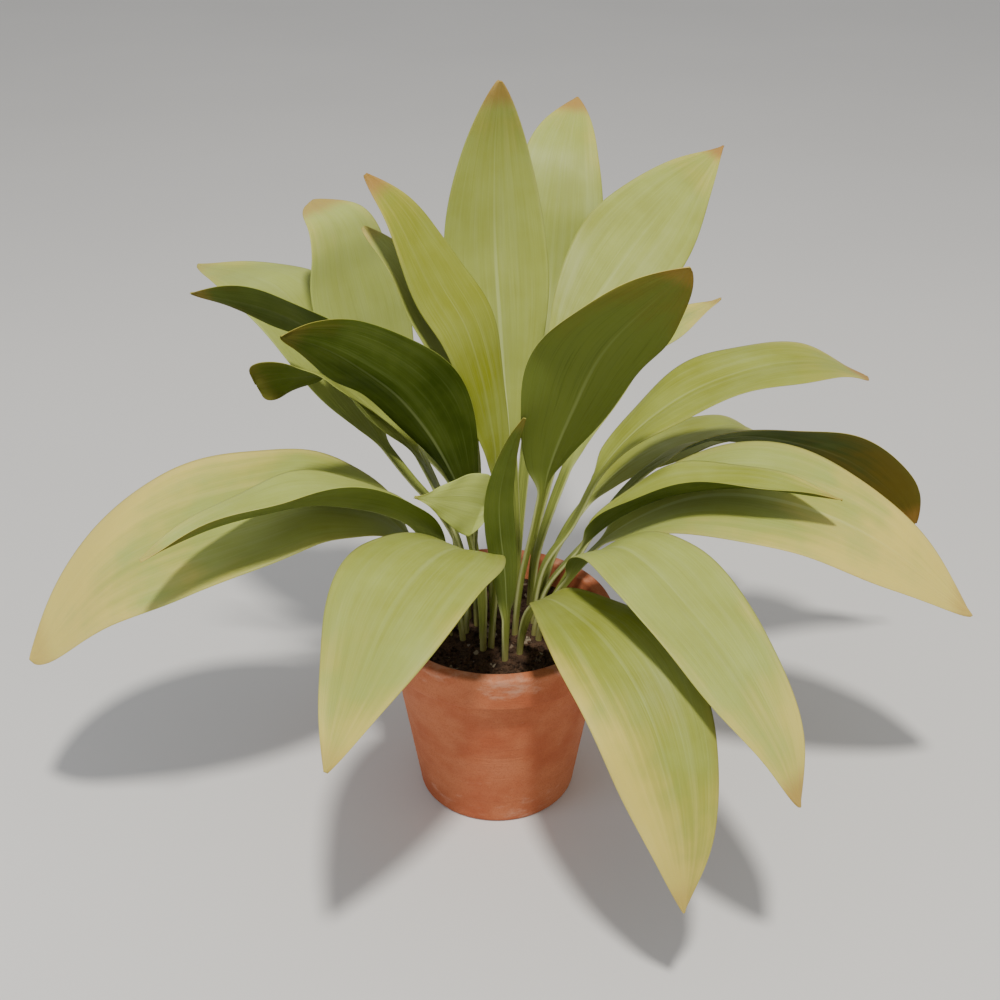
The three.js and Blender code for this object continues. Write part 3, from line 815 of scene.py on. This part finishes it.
def make_pot(material):
    band = POT_HEIGHT - RIM_BAND_HEIGHT
    corners = [
        (0, 0),
        (POT_BASE_RADIUS, 0),
        (outer_radius(band), band),
        (POT_RIM_RADIUS - RIM_BAND_TAPER, band + RIM_BAND_SLOPE),
        (POT_RIM_RADIUS, POT_HEIGHT),
        (inner_radius(POT_HEIGHT), POT_HEIGHT),
        (inner_radius(POT_FLOOR), POT_FLOOR),
        (0, POT_FLOOR),
    ]
    profile = divided(rounded(corners, POT_ROUNDING), THROW_PITCH)
    rng = np.random.default_rng(THROW_SEED)
    thrown = []
    for radius, height in profile:
        ringed = radius > THROW_FROM_RADIUS and THROW_FROM_HEIGHT < height < POT_HEIGHT - THROW_BELOW_LIP
        thrown.append((radius + (rng.uniform(-THROW_DEPTH, 0) if ringed else 0), height))
    verts, faces = lathe(thrown, POT_SIDES)
    pot = new_piece("clay_pot", verts, faces, [material], "pot")
    cut = bmesh.new()
    for i in range(DRAIN_COUNT):
        turn = math.radians(DRAIN_FIRST + i * 360 / DRAIN_COUNT)
        made = bmesh.ops.create_cone(cut, cap_ends=True, segments=DRAIN_SIDES, radius1=DRAIN_RADIUS * MM,
                                     radius2=DRAIN_RADIUS * MM, depth=4 * POT_FLOOR * MM)
        place = (DRAIN_CIRCLE * math.cos(turn) * MM, DRAIN_CIRCLE * math.sin(turn) * MM, 0)
        bmesh.ops.translate(cut, verts=made["verts"], vec=place)
    tool_mesh = bpy.data.meshes.new("drain_cut")
    cut.to_mesh(tool_mesh)
    cut.free()
    tool = bpy.data.objects.new("drain_cut", tool_mesh)
    bpy.context.collection.objects.link(tool)
    holes = pot.modifiers.new("drains", "BOOLEAN")
    holes.object = tool
    holes.solver = "EXACT"
    bpy.context.view_layer.update()
    done = bpy.data.meshes.new_from_object(pot.evaluated_get(bpy.context.evaluated_depsgraph_get()))
    pot.modifiers.clear()
    pot.data = done
    done.name = "clay_pot"
    bpy.data.objects.remove(tool)


def make_soil(material):
    low = POT_FLOOR + GAP
    edge = inner_radius(SOIL_TOP - SOIL_CROWN) - GAP
    radii = np.linspace(edge, 0, SOIL_RINGS + 1)
    crown = [(r, SOIL_TOP - SOIL_CROWN * (r / edge) ** 2) for r in radii]
    verts, faces = lathe([(0, low), (inner_radius(low) - GAP, low), *crown], SOIL_SECTORS)
    verts = np.array(verts, float)
    rng = np.random.default_rng(SOIL_SEED)
    spots = rng.uniform(-edge, edge, (MOUNDS, 2))
    heights = rng.uniform(*MOUND_HEIGHTS, MOUNDS)
    spreads = rng.uniform(*MOUND_SPREADS, MOUNDS)
    top = verts[:, 2] > SOIL_TOP - SOIL_CROWN - TOP_DEPTH
    x, y = verts[top, 0], verts[top, 1]
    inside = smoothstep(edge - np.hypot(x, y), 0, EDGE_FADE)
    lift = np.zeros(top.sum())
    for (sx, sy), height, spread in zip(spots, heights, spreads):
        lift += height * np.exp(-((x - sx) ** 2 + (y - sy) ** 2) / spread ** 2)
    lift = np.clip(lift, *LIFT_LIMITS)
    for leaf in LEAVES:
        away = np.hypot(x - leaf.foot[0], y - leaf.foot[1])
        lift += STALK_MOUND * np.exp(-(away / STALK_MOUND_SPREAD) ** 2)
    verts[top, 2] += lift * inside
    verts = list(map(tuple, verts))

    lump = bmesh.new()
    bmesh.ops.create_icosphere(lump, subdivisions=1, radius=1)
    unit = np.array([v.co for v in lump.verts])
    corners = [[v.index for v in f.verts] for f in lump.faces]
    lump.free()
    for _ in range(CRUMBS):
        away, turn = edge * CRUMB_SCATTER * math.sqrt(rng.uniform()), rng.uniform(0, 2 * math.pi)
        width = rng.uniform(*CRUMB_SHRINKING) * rng.choice(CRUMB_WIDTHS, p=CRUMB_SHARES)
        spot = np.array([away * math.cos(turn), away * math.sin(turn)])
        shape = unit * rng.uniform(*CRUMB_SQUASHING, 3) * width
        shape = shape * (1 + rng.uniform(-CRUMB_ROUGHENING, CRUMB_ROUGHENING, (len(unit), 1)))
        tilt = np.linalg.qr(rng.normal(size=(3, 3)))[0]
        tilt *= np.sign(np.linalg.det(tilt))
        if any(math.dist(spot, leaf.foot) < width + STALK_RADIUS + CRUMB_STANDOFF for leaf in LEAVES):
            continue
        ground = SOIL_TOP - SOIL_CROWN * (away / edge) ** 2
        near = (x - spot[0]) ** 2 + (y - spot[1]) ** 2
        ground += (lift * inside)[np.argmin(near)]
        base = len(verts)
        verts += map(tuple, shape @ tilt.T + [*spot, ground + width * CRUMB_RAISING])
        faces += [[base + c for c in corner] for corner in corners]
    new_piece("soil_fill", verts, faces, [material], "soil")


def area_light(name, place, size, power, colour):
    lamp = bpy.data.lights.new(name, "AREA")
    lamp.shape = "DISK"
    lamp.size = size
    lamp.energy = power
    lamp.color = linear(colour)[:3]
    light = bpy.data.objects.new(name, lamp)
    light.location = place
    light.rotation_euler = (Vector(AIM) - Vector(place)).to_track_quat("-Z", "Y").to_euler()
    bpy.context.collection.objects.link(light)


# The plant

# The second material paints shade into every underside through its darkened colours.
leaf_looks = [leaf_material("haran_leaf_upper", UPPER), leaf_material("haran_leaf_under_shaded", UNDER_SHADED)]
make_pot(clay_material())
make_soil(soil_material())
for leaf in LEAVES:
    make_leaf(leaf, leaf_looks)

# Studio

corners = [(-FLOOR_HALF, -FLOOR_HALF, 0), (FLOOR_HALF, -FLOOR_HALF, 0), (FLOOR_HALF, FLOOR_HALF, 0),
           (-FLOOR_HALF, FLOOR_HALF, 0)]
floor = new_object("studio_floor", np.array(corners) / MM, [[0, 1, 2, 3]], [floor_material()])
area_light("key", KEY_PLACE, KEY_SIZE, KEY_POWER, KEY_WHITE)
area_light("left_fill", LEFT_PLACE, FILL_SIZE, LEFT_POWER, FILL_COOL)
area_light("right_fill", RIGHT_PLACE, FILL_SIZE, RIGHT_POWER, FILL_WARM)

world = bpy.data.worlds.new("studio")
world.use_nodes = True
sky = world.node_tree.nodes["Background"]
sky.inputs["Color"].default_value = linear(SKY)
sky.inputs["Strength"].default_value = SKY_STRENGTH
bpy.context.scene.world = world

eye = bpy.data.cameras.new("camera")
eye.lens = CAMERA_LENS
eye.sensor_width = SENSOR
eye.clip_end = CAMERA_REACH
camera = bpy.data.objects.new("camera", eye)
camera.location = CAMERA_PLACE
camera.rotation_euler = (math.radians(CAMERA_TILT), 0, 0)
bpy.context.collection.objects.link(camera)
bpy.context.scene.camera = camera
